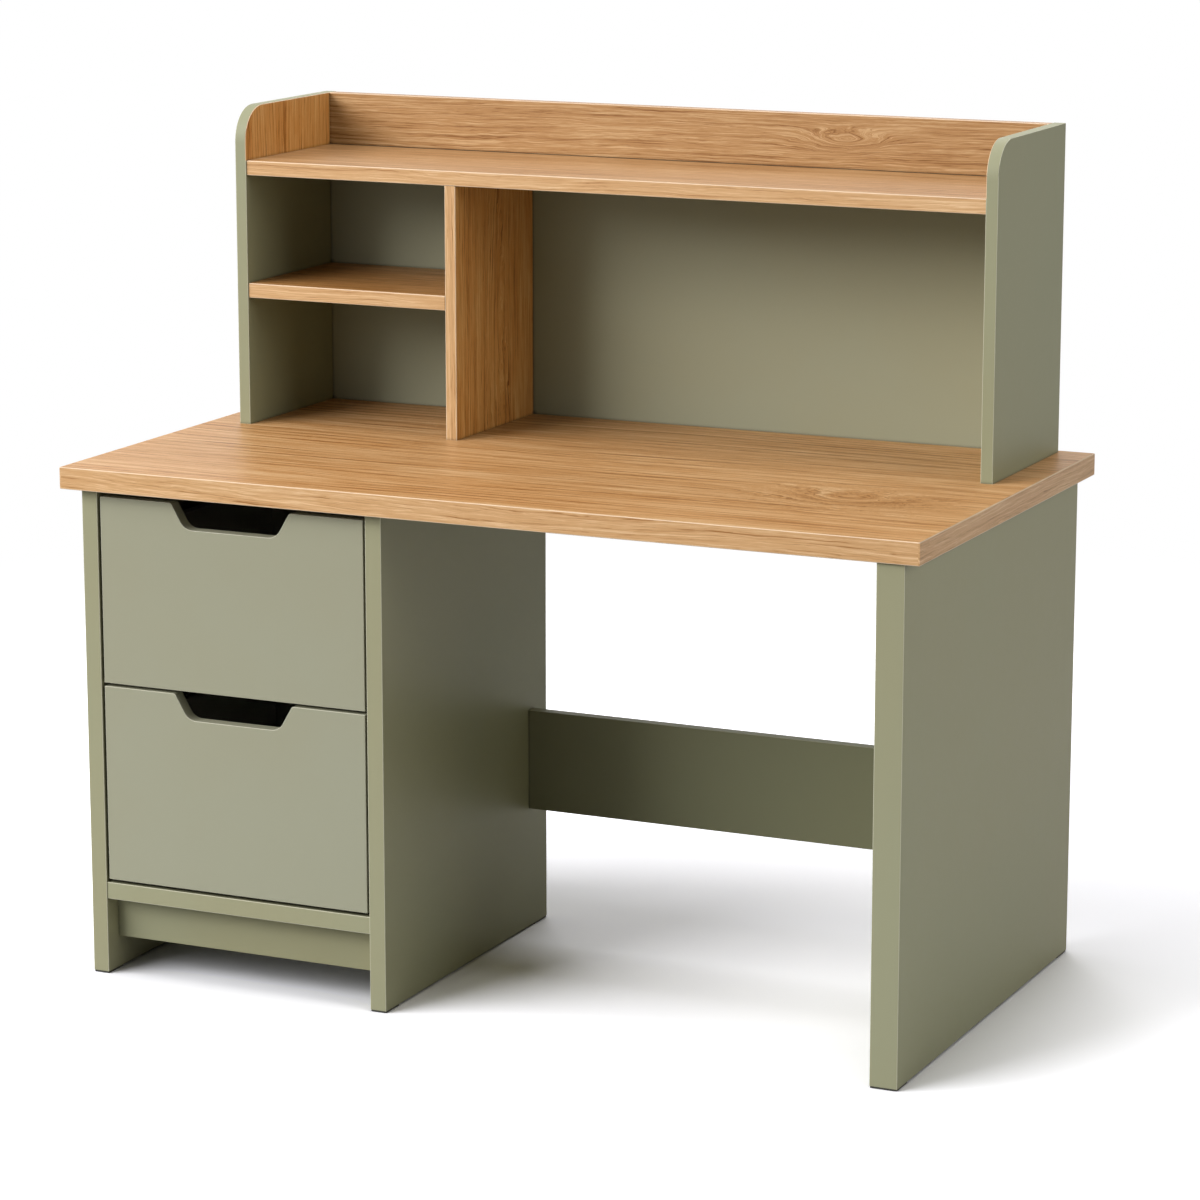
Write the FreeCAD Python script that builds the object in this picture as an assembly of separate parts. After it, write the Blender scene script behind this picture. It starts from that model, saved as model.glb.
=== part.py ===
import FreeCAD, Part
import math
import os

from FreeCAD import Vector

# A student desk: a two-drawer pedestal on the left, one leg panel on the right and a hutch on the back of the top.
# The origin is on the floor under the middle of the part. +X is the sitter's right, +Y the back, +Z up.
# All lengths are in millimetres.

# Desk top: an oak-faced board with a band on each edge
desk_width = 1300.0
desk_depth = 720.0
desk_height = 750.0
top_thick = 32.0
band_thick = 2.0
oak_ease = 1.5

# Painted uprights that carry the top, each on two thin glides
side_overhang = 22.0
panel_thick = 25.0
leg_thick = 40.0
leg_front_setback = 6.0
leg_back_setback = 8.0
paint_ease = 1.0
glide_thick = 3.0
glide_length = 40.0
glide_margin = 1.0

# Drawer pedestal
pedestal_setback = 22.0
pedestal_depth = 528.0
pedestal_clear = 430.0
bottom_height = 113.0
plinth_setback = 30.0
plinth_thick = 18.0
plinth_gap = 50.0
back_thick = 4.0
back_inset = 12.0
back_groove = 8.0
groove_play = 0.2

# Stretcher between the pedestal and the leg
stretcher_low = 186.0
stretcher_height = 152.0
stretcher_thick = 18.0
stretcher_inset = 62.0

# Hutch
hutch_inset = 52.0
hutch_depth = 284.0
hutch_back_setback = 10.0
hutch_height = 475.0
hutch_side_thick = 18.0
hutch_corner = 52.0
gallery_height = 79.0
shelf_thick = 22.0
shelf_setback = 2.0
shelf_play = 0.3
low_cubby_height = 191.0
cubby_width = 328.0
divider_thick = 18.0
rail_thick = 18.0
rail_back_inset = 4.0
hutch_back_thick = 12.0
hutch_groove = 6.0
facing_thick = 1.0

# Drawer fronts, each with a finger notch in its top edge
front_thick = 20.0
front_recess = 1.5
front_gap = 4.0
front_space = 5.0
top_space = 11.0
lower_front_height = 287.5
front_ease = 1.0
notch_top_width = 190.0
notch_low_width = 147.0
notch_depth = 37.0
notch_radius = 22.0
notch_lip_radius = 5.0

# Drawer boxes
box_lift = 18.0
box_drop = 20.0
box_wall = 15.0
box_rear_gap = 41.0
box_floor_thick = 5.0
box_floor_lift = 10.0
box_groove = 6.0

# Ball-bearing drawer slides: cabinet, middle and drawer members, with two ball cages each
slide_thick = 12.7
slide_height = 45.0
slide_sheet = 1.2
slide_bend = 1.0
slide_lift = 92.0
slide_front_gap = 3.0
slide_mouth_gap = 3.5
ball_radius = 2.0
cage_sheet = 0.5
cage_hole_play = 0.1
run_gap = 0.3
balls_per_row = 4
cage_start_share = 0.27
cage_length_share = 0.45
cabinet_screw_shares = (0.08, 0.46, 0.92)
drawer_screw_shares = (0.12, 0.88)

# Fasteners
dowel_radius = 4.0
dowel_length = 30.0
dowel_embed = 12.0
cam_radius = 7.5
cam_depth = 13.0
cam_axis_depth = 9.0
cam_slot_depth = 2.5
cam_slot_width = 1.8
cam_slot_reach_share = 0.7
cam_reach = 30.0
bolt_radius = 3.0
bolt_embed = 11.0
bolt_tip = 2.0
box_cam_radius = 6.0
box_cam_depth = 12.0
box_cam_reach = 22.0
fixing_inset = 60.0
fixing_pitch = 64.0
end_fixing_inset = 34.0
screw_radius = 2.5
screw_length = 62.0
screw_head_radius = 5.0
screw_head_depth = 3.0
recess_depth_share = 0.6
recess_width_share = 0.28
recess_reach_share = 0.62
hutch_screw_inset = 48.0
box_screw_length = 45.0
box_screw_shares = (0.18, 0.82)
slide_screw_radius = 1.75
slide_screw_head_radius = 3.3
slide_screw_head_depth = 1.6
slide_screw_length = 11.0
pin_radius = 2.5
pin_embed = 8.0
pin_reach = 9.0
pin_inset = 50.0

# An edge counts as running along an axis where the sine of the angle between them is under this
edge_lean_share = 0.5

X_AXIS = Vector(1, 0, 0)
Y_AXIS = Vector(0, 1, 0)
Z_AXIS = Vector(0, 0, 1)

# Planes that several pieces share
desk_left = -desk_width / 2
desk_right = desk_width / 2
desk_front = -desk_depth / 2
desk_back = desk_depth / 2
top_under = desk_height - top_thick
pedestal_left = desk_left + side_overhang + panel_thick
pedestal_right = pedestal_left + pedestal_clear
knee_left = pedestal_right + panel_thick
leg_right = desk_right - side_overhang
leg_left = leg_right - leg_thick
pedestal_front = desk_front + pedestal_setback
pedestal_back = pedestal_front + pedestal_depth
leg_front = desk_front + leg_front_setback
leg_back = desk_back - leg_back_setback
back_front = pedestal_back - back_inset - back_thick
bottom_top = bottom_height + panel_thick
stretcher_front = pedestal_back - stretcher_inset
hutch_left = desk_left + hutch_inset
hutch_right = desk_right - hutch_inset
inner_left = hutch_left + hutch_side_thick
inner_right = hutch_right - hutch_side_thick
hutch_back = desk_back - hutch_back_setback
hutch_front = hutch_back - hutch_depth
hutch_top = desk_height + hutch_height
rail_front = hutch_back - rail_back_inset - rail_thick
shelf_top = hutch_top - gallery_height
shelf_under = shelf_top - shelf_thick
mid_shelf_under = desk_height + low_cubby_height
divider_left = inner_left + cubby_width
fronts_plane = pedestal_front + front_recess
box_front = fronts_plane + front_thick
slide_length = back_front - box_front - box_rear_gap
drawer_centre = (pedestal_left + pedestal_right) / 2


def board(x, y, z, along=None, ease=0.0):
    """A straight board between pairs of limits. The four edges that run along one axis are eased."""
    solid = Part.makeBox(x[1] - x[0], y[1] - y[0], z[1] - z[0], Vector(x[0], y[0], z[0]))
    if along is None:
        return solid
    edges = [edge for edge in solid.Edges if edge.tangentAt(edge.FirstParameter).cross(along).Length < edge_lean_share]
    return solid.makeFillet(ease, edges)


def rod(radius, start, run, length):
    """A round bar from a start point along a unit direction."""
    return Part.makeCylinder(radius, length, start, run)


def rounded_outline(points, radii):
    """A closed wire through the points, with an arc of the given radius at each corner that has one."""
    edges = []
    ends = []
    for index, (corner, radius) in enumerate(zip(points, radii)):
        to_last = (points[index - 1] - corner).normalize()
        to_next = (points[(index + 1) % len(points)] - corner).normalize()
        half_angle = to_last.getAngle(to_next) / 2
        reach = radius / math.tan(half_angle)
        arc_start = corner + to_last * reach
        arc_end = corner + to_next * reach
        ends.append((arc_start, arc_end))
        if radius > 0:
            inwards = (to_last + to_next).normalize()
            arc_middle = corner + inwards * (radius / math.sin(half_angle) - radius)
            edges.append(Part.Arc(arc_start, arc_middle, arc_end).toShape())
    for index in range(len(points)):
        edges.append(Part.LineSegment(ends[index - 1][1], ends[index][0]).toShape())
    return Part.Wire(Part.__sortEdges__(edges))


def cross_cutter(centre, run, reach, width, depth):
    """A cross of two bars that sinks a driver's recess into a face at its centre, along a unit direction."""
    across = Z_AXIS if abs(run.z) < edge_lean_share else X_AXIS
    beside = run.cross(across)
    bars = []
    for long_way, short_way in ((across, beside), (beside, across)):
        corners = [centre + long_way * (i * reach) + short_way * (j * width / 2)
                   for i, j in ((-1, -1), (1, -1), (1, 1), (-1, 1))]
        bars.append(Part.Face(Part.makePolygon(corners + corners[:1])).extrude(run * depth))
    return bars[0].fuse(bars[1]).removeSplitter()


def bored(solid, pieces):
    """The solid with a seat cut for each fastener that reaches into it."""
    seats = [piece for piece in pieces if piece.BoundBox.intersect(solid.BoundBox)]
    return solid.cut(seats) if seats else solid


# Fasteners of the fixed carcass, and the driver's recess of every cam and screw, filled in by the functions below
dowels = []
cams = []
bolts = []
recesses = []


def add_dowel(mouth, run):
    """A fluted dowel that crosses a joint at the mouth and runs on into the board that butts there."""
    dowels.append(rod(dowel_radius, mouth - run * dowel_embed, run, dowel_length))


def cam_fitting(mouth, run, face, radius, depth, axis_depth, reach):
    """A connecting bolt through a butt joint, and the cam that is let into the face of the butting board."""
    bolt = rod(bolt_radius, mouth - run * bolt_embed, run, bolt_embed + reach + bolt_tip)
    centre = mouth + run * reach + face * axis_depth
    recesses.append(cross_cutter(centre, -face, radius * cam_slot_reach_share, cam_slot_width, cam_slot_depth))
    return rod(radius, centre, -face, depth).cut(bolt), bolt


def add_cam(mouth, run, face):
    cam, bolt = cam_fitting(mouth, run, face, cam_radius, cam_depth, cam_axis_depth, cam_reach)
    cams.append(cam)
    bolts.append(bolt)


def countersunk_screw(start, run, head_radius, head_depth, radius, length):
    """A screw whose flat head lies in the plane of its start point."""
    head = Part.makeCone(head_radius, radius, head_depth, start, run)
    shank = rod(radius, start + run * head_depth, run, length - head_depth)
    recesses.append(cross_cutter(start, run, head_radius * recess_reach_share, head_radius * recess_width_share,
                                 head_depth * recess_depth_share))
    return head.fuse(shank).removeSplitter()


def recessed(pieces):
    """The fasteners with a driver's recess cut into each head. It is cut last, so that no seat is bored with it."""
    return [bored(piece, recesses) for piece in pieces]


def upright_top_fixings(inside_face, into, front, back):
    """Cams and dowels that hold the top on an upright. The cams sit in its inside face."""
    cam_x = inside_face + into * cam_axis_depth
    for y, step in ((front + fixing_inset, fixing_pitch), (back - fixing_inset, -fixing_pitch)):
        add_cam(Vector(cam_x, y, top_under), -Z_AXIS, X_AXIS * -into)
        add_dowel(Vector(cam_x, y + step, top_under), -Z_AXIS)


def panel_end_fixings(ends, places, middles, face, axis_height):
    """Cams at the places and dowels at the middles, on both ends of a board that runs along X."""
    for x, run in ends:
        for y in places:
            add_cam(Vector(x, y, axis_height), run, face)
        for y in middles:
            add_dowel(Vector(x, y, axis_height), run)


def carcass_fixings():
    """Every dowel, cam and bolt of the fixed carcass."""
    upright_top_fixings(pedestal_left, -1, pedestal_front, pedestal_back)
    upright_top_fixings(pedestal_right, 1, pedestal_front, pedestal_back)
    upright_top_fixings(leg_left, 1, leg_front, leg_back)

    pedestal_ends = ((pedestal_left, X_AXIS), (pedestal_right, -X_AXIS))
    bottom_places = (fronts_plane + fixing_inset, back_front - fixing_inset)
    bottom_middles = (bottom_places[0] + fixing_pitch, bottom_places[1] - fixing_pitch)
    panel_end_fixings(pedestal_ends, bottom_places, bottom_middles, -Z_AXIS, bottom_height + cam_axis_depth)
    plinth_middle = pedestal_front + plinth_setback + plinth_thick / 2
    for x, run in pedestal_ends:
        add_dowel(Vector(x, plinth_middle, (plinth_gap + bottom_height) / 2), run)

    stretcher_axis = stretcher_front + stretcher_thick - cam_axis_depth
    for x, run in ((knee_left, X_AXIS), (leg_left, -X_AXIS)):
        for z in (stretcher_low + end_fixing_inset, stretcher_low + stretcher_height - end_fixing_inset):
            add_cam(Vector(x, stretcher_axis, z), run, Y_AXIS)
        add_dowel(Vector(x, stretcher_axis, stretcher_low + stretcher_height / 2), run)

    hutch_ends = ((inner_left, X_AXIS), (inner_right, -X_AXIS))
    shelf_places = (hutch_front + fixing_inset, rail_front - fixing_inset)
    shelf_middle = (sum(shelf_places) / 2,)
    panel_end_fixings(hutch_ends, shelf_places, shelf_middle, -Z_AXIS, shelf_under + cam_axis_depth)
    rail_middle = rail_front + rail_thick / 2
    for x, run in hutch_ends:
        add_dowel(Vector(x, rail_middle, shelf_top + gallery_height / 2), run)
    for x in (inner_left + fixing_inset, (inner_left + inner_right) / 2, inner_right - fixing_inset):
        add_dowel(Vector(x, rail_middle, shelf_top), Z_AXIS)
    side_middle = (hutch_front + hutch_back) / 2
    for x in (hutch_left + hutch_side_thick / 2, hutch_right - hutch_side_thick / 2):
        add_dowel(Vector(x, side_middle, desk_height), Z_AXIS)
    for y in (hutch_front + fixing_inset, rail_front - fixing_inset):
        add_dowel(Vector(divider_left + divider_thick / 2, y, shelf_under), -Z_AXIS)


def make_hutch_screws():
    """Long screws that hold the hutch's three uprights from under the desk top."""
    screws = []
    rows = ((hutch_left + hutch_side_thick / 2, hutch_back), (hutch_right - hutch_side_thick / 2, hutch_back),
            (divider_left + divider_thick / 2, rail_front))
    for x, back in rows:
        for y in (hutch_front + hutch_screw_inset, back - hutch_screw_inset):
            screws.append(countersunk_screw(Vector(x, y, top_under), Z_AXIS, screw_head_radius,
                                            screw_head_depth, screw_radius, screw_length))
    return screws


def make_shelf_pins():
    """Steel pins in the left side and the divider that carry the middle shelf."""
    pins = []
    for x, run in ((inner_left, X_AXIS), (divider_left, -X_AXIS)):
        for y in (hutch_front + pin_inset, rail_front - pin_inset):
            start = Vector(x, y, mid_shelf_under - pin_radius) - run * pin_embed
            pins.append(rod(pin_radius, start, run, pin_embed + pin_reach))
    return pins


def make_desktop():
    """The top board and its four edge bands, eased where the hand meets them."""
    core = board((desk_left + band_thick, desk_right - band_thick),
                 (desk_front + band_thick, desk_back - band_thick), (top_under, desk_height))
    whole = board((desk_left, desk_right), (desk_front, desk_back), (top_under, desk_height))
    rims = [edge for edge in whole.Edges if edge.tangentAt(edge.FirstParameter).cross(Z_AXIS).Length > edge_lean_share]
    ring = whole.makeFillet(oak_ease, rims).cut(core)
    limits = (top_under, desk_height)
    long_bands = [ring.common(board((desk_left, desk_right), span, limits))
                  for span in ((desk_front, desk_front + band_thick), (desk_back - band_thick, desk_back))]
    short_bands = [ring.cut(long_bands).common(board(span, (desk_front, desk_back), limits))
                   for span in ((desk_left, desk_left + band_thick), (desk_right - band_thick, desk_right))]
    return core, [band.Solids[0] for band in long_bands + short_bands]


def make_uprights():
    """The pedestal's two sides, grooved for the back panel, and the leg panel."""
    height = (glide_thick, top_under)
    depth = (pedestal_front, pedestal_back)
    left = board((pedestal_left - panel_thick, pedestal_left), depth, height, Z_AXIS, paint_ease)
    inner = board((pedestal_right, knee_left), depth, height, Z_AXIS, paint_ease)
    groove = board((pedestal_left - back_groove, pedestal_right + back_groove),
                   (back_front, back_front + back_thick), (bottom_height, top_under))
    leg = board((leg_left, leg_right), (leg_front, leg_back), height, Z_AXIS, paint_ease)
    return left.cut(groove), inner.cut(groove), leg


def make_pedestal_boards():
    """The bottom, the plinth under it and the thin back in its grooves."""
    clear = (pedestal_left, pedestal_right)
    bottom = board(clear, (fronts_plane, back_front), (bottom_height, bottom_top), X_AXIS, paint_ease)
    plinth_front = pedestal_front + plinth_setback
    plinth = board(clear, (plinth_front, plinth_front + plinth_thick), (plinth_gap, bottom_height))
    reach = back_groove - groove_play
    back = board((pedestal_left - reach, pedestal_right + reach),
                 (back_front, back_front + back_thick), (bottom_height, top_under))
    return bottom, plinth, back


def make_glides():
    """Thin pads under the front and back end of each upright."""
    feet = ((pedestal_left - panel_thick, panel_thick, pedestal_front, pedestal_back),
            (pedestal_right, panel_thick, pedestal_front, pedestal_back),
            (leg_left, leg_thick, leg_front, leg_back))
    pads = []
    for x, thick, front, back in feet:
        for start in (front + glide_margin, back - glide_margin - glide_length):
            pads.append(board((x + glide_margin, x + thick - glide_margin), (start, start + glide_length),
                              (0, glide_thick)))
    return pads


def hutch_side_outline(low):
    """The outline of a hutch side above a height, in the plane X = 0, with its top front corner rounded."""
    corners = [Vector(0, hutch_front, low), Vector(0, hutch_back, low), Vector(0, hutch_back, hutch_top),
               Vector(0, hutch_front, hutch_top)]
    return Part.Face(rounded_outline(corners, (0, 0, 0, hutch_corner)))


def make_hutch_side(outer, inner, into):
    """One hutch side, eased round its outline, and the oak facing let into its inside above the top shelf."""
    blank = hutch_side_outline(desk_height).extrude(X_AXIS * (inner - outer))
    blank.translate(X_AXIS * outer)
    eased = [edge for edge in blank.Edges
             if edge.BoundBox.XLength < paint_ease and edge.BoundBox.ZMax > desk_height + hutch_corner]
    side = blank.makeFillet(paint_ease, eased)
    facing = hutch_side_outline(shelf_top).extrude(X_AXIS * (into * -facing_thick))
    facing.translate(X_AXIS * inner)
    behind_rail = board((min(inner, outer), max(inner, outer)), (rail_front, hutch_back), (shelf_top, hutch_top))
    facing = facing.cut(behind_rail).common(side)
    groove = board((inner - hutch_groove, inner + hutch_groove),
                   (rail_front, rail_front + hutch_back_thick), (desk_height, shelf_under))
    return side.cut(facing).cut(groove), facing


def make_hutch_boards():
    """The shelves, the divider, the back panel and the rail that stands on the top shelf."""
    front = hutch_front + shelf_setback
    clear = (inner_left, inner_right)
    top_shelf = board(clear, (front, rail_front + rail_thick), (shelf_under, shelf_top), X_AXIS, oak_ease)
    rail = board(clear, (rail_front, rail_front + rail_thick), (shelf_top, hutch_top), X_AXIS, oak_ease)
    divider = board((divider_left, divider_left + divider_thick), (front, rail_front),
                    (desk_height, shelf_under), Z_AXIS, oak_ease)
    mid_shelf = board((inner_left + shelf_play, divider_left - shelf_play), (front, rail_front),
                      (mid_shelf_under, mid_shelf_under + shelf_thick), X_AXIS, oak_ease)
    reach = hutch_groove - groove_play
    back = board((inner_left - reach, inner_right + reach), (rail_front, rail_front + hutch_back_thick),
                 (desk_height, shelf_under))
    return top_shelf, rail, divider, mid_shelf, back


def channel(web, mouth, half_height, sheet, start, length, bend=0.0):
    """A pressed channel along Y: its web stands at one X and its flanges reach to another."""
    inside = web + math.copysign(sheet, mouth - web)
    points = ((web, -half_height), (mouth, -half_height), (mouth, sheet - half_height),
              (inside, sheet - half_height), (inside, half_height - sheet), (mouth, half_height - sheet),
              (mouth, half_height), (web, half_height))
    corners = [Vector(x, start, z) for x, z in points]
    radii = (bend + sheet, 0, 0, bend, bend, 0, 0, bend + sheet) if bend else (0,) * len(points)
    return Part.Face(rounded_outline(corners, radii)).extrude(Y_AXIS * length)


def ball_cage(web, mouth, row_x, row_z, start, length):
    """A sheet cage whose two flanges hold a row of balls each, with the balls in it."""
    cage = channel(web, mouth, row_z + cage_sheet / 2, cage_sheet, start, length)
    pitch = length / balls_per_row
    balls = []
    for side in (-1, 1):
        for index in range(balls_per_row):
            balls.append(Part.makeSphere(ball_radius, Vector(row_x, start + pitch * (index + 1 / 2), side * row_z)))
    holes = [rod(ball_radius + cage_hole_play, ball.CenterOfMass - Z_AXIS * ball_radius, Z_AXIS, 2 * ball_radius)
             for ball in balls]
    return [cage.cut(holes)] + balls


def make_slide():
    """One slide for the left wall, with its wall face at X = 0, its axis at Z = 0 and its front end at Y = 0."""
    web_gap = cage_sheet + 2 * run_gap
    step = slide_sheet + 2 * (run_gap + ball_radius)
    half = slide_height / 2
    middle_web = slide_sheet + web_gap
    cabinet_mouth = slide_thick - slide_mouth_gap
    middle_mouth = slide_thick - slide_sheet - web_gap
    drawer_mouth = 2 * middle_web
    cage_start = slide_length * cage_start_share
    cage_length = slide_length * cage_length_share
    cabinet = channel(0, cabinet_mouth, half, slide_sheet, 0, slide_length, slide_bend)
    middle = channel(middle_web, middle_mouth, half - step, slide_sheet, 0, slide_length, slide_bend)
    drawer = channel(slide_thick, drawer_mouth, half - 2 * step, slide_sheet, 0, slide_length, slide_bend)
    race = slide_sheet + run_gap + ball_radius
    outer = ball_cage(slide_sheet + run_gap, cabinet_mouth - run_gap, (middle_web + cabinet_mouth) / 2,
                      half - race, cage_start, cage_length)
    inner = ball_cage(middle_web + slide_sheet + run_gap, middle_mouth - run_gap,
                      (drawer_mouth + middle_mouth) / 2, half - step - race, cage_start, cage_length)
    return cabinet, middle, drawer, outer, inner


def slide_screws(face_x, run, shares, height):
    """Flat-head screws through a slide member's web into the board behind it."""
    return [countersunk_screw(Vector(face_x, box_front + slide_front_gap + slide_length * share, height), run,
                              slide_screw_head_radius, slide_screw_head_depth, slide_screw_radius,
                              slide_screw_length) for share in shares]


def make_drawer_front(low, high):
    """A drawer front with a rounded finger notch in its top edge and its face edges eased."""
    half_width = pedestal_clear / 2 - front_gap
    notch_low = high - notch_depth
    corners = [Vector(drawer_centre - half_width, fronts_plane, low),
               Vector(drawer_centre + half_width, fronts_plane, low),
               Vector(drawer_centre + half_width, fronts_plane, high),
               Vector(drawer_centre + notch_top_width / 2, fronts_plane, high),
               Vector(drawer_centre + notch_low_width / 2, fronts_plane, notch_low),
               Vector(drawer_centre - notch_low_width / 2, fronts_plane, notch_low),
               Vector(drawer_centre - notch_top_width / 2, fronts_plane, high),
               Vector(drawer_centre - half_width, fronts_plane, high)]
    radii = (0, 0, 0, notch_lip_radius, notch_radius, notch_radius, notch_lip_radius, 0)
    blank = Part.Face(rounded_outline(corners, radii)).extrude(Y_AXIS * front_thick)
    face_edges = [edge for edge in blank.Edges if edge.BoundBox.YMax < fronts_plane + front_thick / 2]
    return blank.makeFillet(front_ease, face_edges)


def make_drawer(low, high):
    """The boards and fasteners of one drawer whose front runs from low to high."""
    box_low = low + box_lift
    box_high = high - notch_depth - box_drop
    box_left = pedestal_left + slide_thick
    box_right = pedestal_right - slide_thick
    box_back = box_front + slide_length
    floor_low = box_low + box_floor_lift
    floor_high = floor_low + box_floor_thick
    reach = box_groove - groove_play
    floor = board((box_left + box_wall - reach, box_right - box_wall + reach), (box_front - reach, box_back),
                  (floor_low, floor_high))
    groove = board((box_left + box_wall - box_groove, box_right - box_wall + box_groove),
                   (box_front - box_groove, box_back), (floor_low, floor_high))
    depth = (box_front, box_back)
    left = board((box_left, box_left + box_wall), depth, (box_low, box_high)).cut(groove)
    right = board((box_right - box_wall, box_right), depth, (box_low, box_high)).cut(groove)
    back = board((box_left + box_wall, box_right - box_wall), (box_back - box_wall, box_back),
                 (floor_high, box_high))
    front = make_drawer_front(low, high).cut(groove)

    fittings = []
    screws = []
    for wall, into in ((box_left, X_AXIS), (box_right, -X_AXIS)):
        for share in box_screw_shares:
            z = box_low + (box_high - box_low) * share
            axis = Vector(wall, box_front, z) + into * (box_wall / 2)
            fittings.extend(cam_fitting(axis, Y_AXIS, into, box_cam_radius, box_cam_depth, box_wall / 2,
                                        box_cam_reach))
            start = Vector(wall, box_back - box_wall / 2, z)
            screws.append(countersunk_screw(start, into, screw_head_radius, screw_head_depth, screw_radius,
                                            box_screw_length))
    height = box_low + slide_lift
    for wall, into in ((box_left, X_AXIS), (box_right, -X_AXIS)):
        screws.extend(slide_screws(wall - into.x * slide_sheet, into, drawer_screw_shares, height))
    return {"front": front, "left_side": left, "right_side": right, "back": back, "floor": floor,
            "fittings": fittings, "screws": screws}, height


def place_slide(shape, right_hand, height):
    """A slide piece moved from its own frame to the pedestal's left or right wall."""
    placed = shape.mirror(Vector(0, 0, 0), X_AXIS) if right_hand else shape.copy()
    wall = pedestal_right if right_hand else pedestal_left
    placed.translate(Vector(wall, box_front + slide_front_gap, height))
    return placed


def build():
    """Every node of the part, by name: a solid, or a list of the solids in a group."""
    nodes = {}
    carcass_fixings()
    hutch_screws = make_hutch_screws()
    pins = make_shelf_pins()
    fixings = dowels + cams + bolts + hutch_screws + pins

    core, bands = make_desktop()
    nodes["desktop_board"] = bored(core, fixings)
    nodes["desktop_edge_bands"] = bands
    left, inner, leg = make_uprights()
    nodes["right_leg_panel"] = bored(leg, fixings)
    bottom, plinth, back = make_pedestal_boards()
    nodes["pedestal_bottom"] = bored(bottom, fixings)
    nodes["plinth_rail"] = bored(plinth, fixings)
    nodes["pedestal_back"] = back
    stretcher = board((knee_left, leg_left), (stretcher_front, stretcher_front + stretcher_thick),
                      (stretcher_low, stretcher_low + stretcher_height), X_AXIS, paint_ease)
    nodes["stretcher_rail"] = bored(stretcher, fixings)
    nodes["foot_glides"] = make_glides()

    left_side, left_facing = make_hutch_side(hutch_left, inner_left, 1)
    right_side, right_facing = make_hutch_side(hutch_right, inner_right, -1)
    nodes["hutch_left_side"] = bored(left_side, fixings)
    nodes["hutch_right_side"] = bored(right_side, fixings)
    nodes["hutch_left_facing"] = left_facing
    nodes["hutch_right_facing"] = right_facing
    names = ("hutch_top_shelf", "hutch_back_rail", "hutch_divider", "hutch_middle_shelf", "hutch_back_panel")
    for name, piece in zip(names, make_hutch_boards()):
        nodes[name] = bored(piece, fixings)

    lower_low = bottom_top + front_space
    lower_high = lower_low + lower_front_height
    levels = {"lower": (lower_low, lower_high), "upper": (lower_high + front_space, top_under - top_space)}
    members = make_slide()
    wall_screws = []
    for level, (low, high) in levels.items():
        pieces, height = make_drawer(low, high)
        fasteners = pieces["fittings"] + pieces["screws"]
        for name in ("front", "left_side", "right_side", "back", "floor"):
            nodes[level + "_drawer_" + name] = bored(pieces[name], fasteners)
        nodes[level + "_drawer_cam_fittings"] = recessed(pieces["fittings"])
        nodes[level + "_drawer_screws"] = recessed(pieces["screws"])
        outer_cages = []
        inner_cages = []
        for hand in ("left", "right"):
            right_hand = hand == "right"
            cabinet, middle, drawer = [place_slide(shape, right_hand, height) for shape in members[:3]]
            wall, into = (pedestal_right, X_AXIS) if right_hand else (pedestal_left, -X_AXIS)
            screws = slide_screws(wall - into.x * slide_sheet, into, cabinet_screw_shares, height)
            wall_screws.extend(screws)
            nodes[level + "_" + hand + "_slide_cabinet_member"] = bored(cabinet, screws)
            nodes[level + "_" + hand + "_slide_middle_member"] = middle
            nodes[level + "_" + hand + "_slide_drawer_member"] = bored(drawer, pieces["screws"])
            outer_cages.extend(place_slide(shape, right_hand, height) for shape in members[3])
            inner_cages.extend(place_slide(shape, right_hand, height) for shape in members[4])
        nodes[level + "_slide_outer_cages"] = outer_cages
        nodes[level + "_slide_inner_cages"] = inner_cages

    nodes["left_side_panel"] = bored(left, fixings + wall_screws)
    nodes["pedestal_inner_panel"] = bored(inner, fixings + wall_screws)
    nodes["slide_wall_screws"] = recessed(wall_screws)
    nodes["hutch_screws"] = recessed(hutch_screws)
    nodes["shelf_pins"] = pins
    nodes["wood_dowels"] = dowels
    nodes["cam_locks"] = recessed(cams)
    nodes["cam_bolts"] = bolts
    return nodes


def main():
    os.makedirs("parts", exist_ok=True)
    for name, piece in build().items():
        shape = Part.makeCompound(piece) if isinstance(piece, list) else piece
        shape.exportStep("parts/" + name + ".step")
        solids = shape.Solids
        print("%-34s %3d solids  %12.1f mm3  valid %s"
              % (name, len(solids), sum(solid.Volume for solid in solids), shape.isValid()))


main()
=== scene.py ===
# %% [markdown]
# # A student desk with a hutch
# The desk is already built: every board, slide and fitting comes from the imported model, at its real size.
# What is left for Blender is what a maker calls finishing: lacquer, veneer, plating, light and a camera.
# The lines below load the model. Nothing in it may be moved, so each finish is made to fit its piece.

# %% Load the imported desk
import math

import bpy
import numpy as np
from mathutils import Euler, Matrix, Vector


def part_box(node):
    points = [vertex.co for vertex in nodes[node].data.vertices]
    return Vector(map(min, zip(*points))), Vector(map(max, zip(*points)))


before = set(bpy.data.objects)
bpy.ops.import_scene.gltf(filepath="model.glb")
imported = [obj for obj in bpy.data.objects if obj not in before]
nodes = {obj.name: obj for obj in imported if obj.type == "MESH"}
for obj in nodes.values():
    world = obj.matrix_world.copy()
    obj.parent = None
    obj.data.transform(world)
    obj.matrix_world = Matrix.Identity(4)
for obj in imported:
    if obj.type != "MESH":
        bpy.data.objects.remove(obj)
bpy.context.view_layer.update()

# %% [markdown]
# ## Helpers for shader nodes
# A procedural finish is a small circuit: coordinates go in, noise and arithmetic shape them, colours come
# out. Wiring such circuits by hand takes many lines, so short helpers do it. One adds a node and fills its
# sockets, and the others do one step of the work each: arithmetic, a blend of two colours, a smooth step, a
# noise.

# %% Node helpers
NOISE_MEAN = 0.5


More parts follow.
